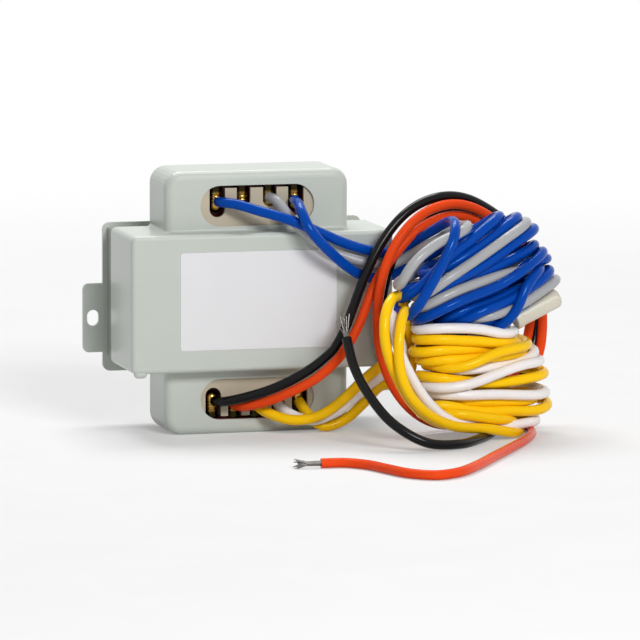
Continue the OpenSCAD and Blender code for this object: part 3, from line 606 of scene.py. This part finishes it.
# Terminal posts: turned pins with two beads, grooves beside them and a domed end
POST_R = 2.25
POST_ROOT = [(-0.08, 0), (-0.08, 2.85)]  # added to the radius, and height above the root
BEAD = [(-0.3, 0), (-0.3, 0.3), (-0.06, 0.42), (0, 0.58), (0, 0.74), (-0.06, 0.9)]
BEAD_PLACES = (3.0, 4.0)
LAST_GROOVE = [(-0.3, 5.02), (-0.3, 5.3), (-0.05, 5.42)]
DOME_RINGS = 12
AXIS_R = 0.02  # radius of the ring that closes an end
POST_L = 8.6
POST_Y = -8.8
POST_ENDS = {"upper_terminal_posts": (76, -1, (-12.3, -4.1, 4.1, 12.3)),
             "lower_terminal_posts": (4.5, 1, (-13.6, -6.8, 0, 6.8, 13.6))}


def post_profile():
    """Plain root, two thin beads with grooves beside them, and a smooth body with a dome."""
    beads = [(inset, low + rise) for low in BEAD_PLACES for inset, rise in BEAD]
    shaft = [(POST_R + inset, height) for inset, height in POST_ROOT + beads + LAST_GROOVE]
    dome = [(max(POST_R * math.cos(a), AXIS_R), POST_L - POST_R + POST_R * math.sin(a))
            for a in np.linspace(0, math.pi / 2, DOME_RINGS)]
    return shaft + dome


for node, (root_z, sign, places) in POST_ENDS.items():
    bm = bmesh.new()
    profile = [(r * MM, h * MM) for r, h in post_profile()]
    for x in places:
        turned(bm, profile, Vector((x, POST_Y, root_z)) * MM, sign)
    mesh_piece(node + "_turned", bm, BRASS, [node])

# End cap: a moulded cylinder with a rim at its mouth and a flat closed end with a round corner
CAP_R = 3.3
CAP_L = 16.0
CAP_RIM = 0.25
CAP_MOUTH = 2.0
CAP_CORNER = 1.5
CAP_CORNER_RINGS = 9
CAP_AT = (74.6, -35.6, 35.2)
CAP_YAW = math.radians(6)
CAP_TILT = math.radians(24)


def cap_profile():
    """Radius and height of the cap's outline, from the mouth to the closed end."""
    inner = CAP_R - CAP_RIM
    corner = [(inner - CAP_CORNER + CAP_CORNER * math.cos(a), CAP_L - CAP_CORNER + CAP_CORNER * math.sin(a))
              for a in np.linspace(0, math.pi / 2, CAP_CORNER_RINGS)]
    mouth = [(AXIS_R, 0), (inner, 0), (CAP_R, CAP_RIM), (CAP_R, CAP_MOUTH), (inner, CAP_MOUTH + CAP_RIM)]
    return mouth + corner + [(AXIS_R, CAP_L)]


bm = bmesh.new()
turned(bm, [(r * MM, h * MM) for r, h in cap_profile()], Vector((0, 0, 0)), 1)
turn = Matrix.Rotation(CAP_YAW, 4, "Z") @ Matrix.Rotation(math.pi / 2 - CAP_TILT, 4, "Y")
bmesh.ops.transform(bm, matrix=Matrix.Translation(Vector(CAP_AT) * MM) @ turn, verts=bm.verts)
cap = mesh_piece("end_cap_moulded", bm, NYLON, ["end_cap"])

# Stripped ends: tinned wires twisted out of the insulation and splayed at their tips
WIRE_R = 0.2
BUNDLE_R = 0.62
WIRE_ROOT = -0.6
WIRE_POINTS = 16
SHORTEST_WIRE = 0.82
FAN = 0.1
STRIPS = {
    "black_lead": {"node": "black_strands", "wires": 13, "length": 7.4, "twist": 0.35, "grip": 2.0,
                   "tips": [(-0.30, 0.10), (0.30, 0.16), (-0.12, -0.14), (0.08, 0.2), (0.42, -0.1)]},
    "orange_lead": {"node": "orange_strands", "wires": 12, "length": 8.2, "twist": 0.9, "grip": 4.6,
                    "tips": [(0.26, 0.1), (-0.34, 0.06), (0.2, -0.1), (-0.42, 0.12)]},
}


def stripped_end(name, line, surface):
    """Twisted wires that go on from a lead's end."""
    plan = STRIPS[name]
    tip = Vector(line[-1])
    way = Vector(line[-1] - line[-5]).normalized()
    rise = Vector((0, 0, 1)) - way * way.z
    if rise.length < 0.5:
        rise = Vector((1, 0, 0)) - way * way.x
    rise.normalize()
    aside = way.cross(rise)
    bm = bmesh.new()
    for k in range(plan["wires"]):
        ring = BUNDLE_R if k else 0.0
        start = 2 * math.pi * k / (plan["wires"] - 1)
        lean = plan["tips"][k % len(plan["tips"])]
        stretch = plan["length"] * rng.uniform(SHORTEST_WIRE, 1.0)
        points = []
        for run in np.linspace(WIRE_ROOT, stretch, WIRE_POINTS):
            turn = start + plan["twist"] * min(max(run, 0), plan["grip"])
            away = max(run - plan["grip"], 0)
            out_u = ring * math.cos(turn) + lean[0] * away + FAN * away * math.cos(start)
            out_v = ring * math.sin(turn) + lean[1] * away + FAN * away * math.sin(start)
            point = tip + way * run + rise * out_u + aside * out_v
            point.z = max(point.z, WIRE_R)
            points.append(point * MM)
        sweep(bm, points, WIRE_R * MM)
    return mesh_piece(name + "_bare_wires", bm, surface, [plan["node"]], smooth=1.2)


names = list(LEADS)
plans = [lead_plan(n) for n in names]
lines = relax([p[0] for p in plans], [LEADS[n] for n in names], [p[1:] for p in plans], RELAX_ROUNDS)
for name, line in zip(names, lines):
    surface, slot, solids = LEAD_LOOKS[name]
    piece = lead_curve(name, line, LEADS[name], surface)
    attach(piece, BODY)
    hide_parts(*solids)
    ends = [cap] if name == "gray_lead" else []
    if name in STRIPS:
        ends = [stripped_end(name, line, TINNED)]

# Camera at the photograph's viewing angle
AZIMUTH = math.radians(15.0)
ELEVATION = math.radians(7.3)
ROLL = math.radians(0.1)
DISTANCE = 2.105
AIM = Vector((0, 0, 0.041))
ASIDE = 0.0224
BELOW = 0.0079
VIEW_W = 0.19565
SENSOR = 36.0

right = Vector((math.cos(AZIMUTH), -math.sin(AZIMUTH), 0))
ahead = Vector((math.sin(AZIMUTH) * math.cos(ELEVATION), math.cos(AZIMUTH) * math.cos(ELEVATION),
                -math.sin(ELEVATION)))
above = right.cross(ahead)
lens = bpy.data.cameras.new("camera")
lens.sensor_width = SENSOR
lens.lens = SENSOR * DISTANCE / VIEW_W
lens.clip_end = 50
camera = bpy.data.objects.new("camera", lens)
bpy.context.scene.collection.objects.link(camera)
rolled = Matrix.Rotation(-ROLL, 3, ahead)
side, top = rolled @ right, rolled @ above
seat = AIM + side * ASIDE - top * BELOW - ahead * DISTANCE
camera.matrix_world = Matrix((
    (side.x, top.x, -ahead.x, seat.x), (side.y, top.y, -ahead.y, seat.y),
    (side.z, top.z, -ahead.z, seat.z), (0, 0, 0, 1)))
bpy.context.scene.camera = camera

# Floor, world and lamps
FLOOR_HALF = 6.0
FLOOR_TONES = ((0.79, 0.79, 0.79), (0.81, 0.81, 0.81))
FLOOR_GRAIN = 30
SHADOW_NEAR = 0.25  # distance from the object at which the floor's shadow starts to fade
SHADOW_FAR = 0.7  # and at which it has gone
SHADOW_LIFT = 0.25  # share of plain white in the floor beside the object
SKY = 0.2  # strength of the light from all round
LIT_AT = (0.02, -0.02, 0.04)  # point that the lamps face


def seen_directly(tree):
    """1 for rays from the camera, and for those that mirror or pass through something."""
    path = add(tree, "ShaderNodeLightPath")
    total = path.outputs["Is Camera Ray"]
    for ray in ("Is Glossy Ray", "Is Transmission Ray"):
        both = add(tree, "ShaderNodeMath", operation="MAXIMUM")
        tree.links.new(total, both.inputs[0])
        tree.links.new(path.outputs[ray], both.inputs[1])
        total = both.outputs[0]
    return total


def floor_material():
    """Matt white near the object, where it takes its shadow, and plain white further off."""
    mat, tree, bsdf = new_material("floor")
    tone = shade_between(tree, noise_at(tree, FLOOR_GRAIN), *FLOOR_TONES)
    tree.links.new(tone, bsdf.inputs["Base Color"])
    bsdf.inputs["Roughness"].default_value = 0.8
    bsdf.inputs["Specular IOR Level"].default_value = 0.1
    white = add(tree, "ShaderNodeEmission", Strength=1.0)
    away = add(tree, "ShaderNodeVectorMath", operation="LENGTH")
    tree.links.new(object_coords(tree), away.inputs[0])
    edge = add(tree, "ShaderNodeMapRange", interpolation_type="SMOOTHSTEP")
    edge.inputs["From Min"].default_value = SHADOW_NEAR
    edge.inputs["From Max"].default_value = SHADOW_FAR
    edge.inputs["To Min"].default_value = SHADOW_LIFT
    tree.links.new(away.outputs["Value"], edge.inputs["Value"])
    share = add(tree, "ShaderNodeMath", operation="MULTIPLY")
    tree.links.new(edge.outputs["Result"], share.inputs[0])
    tree.links.new(seen_directly(tree), share.inputs[1])
    mix = add(tree, "ShaderNodeMixShader")
    tree.links.new(share.outputs[0], mix.inputs["Fac"])
    tree.links.new(bsdf.outputs["BSDF"], mix.inputs[1])
    tree.links.new(white.outputs["Emission"], mix.inputs[2])
    tree.links.new(mix.outputs["Shader"], tree.nodes["Material Output"].inputs["Surface"])
    return mat


mesh = bpy.data.meshes.new("floor")
corners = [(x * FLOOR_HALF, y * FLOOR_HALF, 0) for x, y in ((-1, -1), (1, -1), (1, 1), (-1, 1))]
mesh.from_pydata(corners, [], [(0, 1, 2, 3)])
mesh.materials.append(floor_material())
floor = bpy.data.objects.new("floor", mesh)
bpy.context.scene.collection.objects.link(floor)

world = bpy.data.worlds.new("studio")
bpy.context.scene.world = world
world.use_nodes = True
tree = world.node_tree
sky = tree.nodes["Background"]
sky.inputs["Color"].default_value = (1, 1, 1, 1)
tree.links.new(spread(tree, seen_directly(tree), SKY, 1.0), sky.inputs["Strength"])


def lamp(name, place, aim, size, watts):
    data = bpy.data.lights.new(name, "AREA")
    data.shape = "RECTANGLE"
    data.size, data.size_y = size
    data.energy = watts
    obj = bpy.data.objects.new(name, data)
    bpy.context.scene.collection.objects.link(obj)
    obj.location = place
    obj.rotation_euler = (Vector(aim) - Vector(place)).to_track_quat("-Z", "Y").to_euler()


lamp("top", (0.0, 0.42, 1.05), LIT_AT, (0.7, 0.5), 9.8)
lamp("front", (0.2, -1.3, 0.7), LIT_AT, (0.5, 0.35), 13.5)

bpy.context.scene.view_settings.view_transform = "Standard"
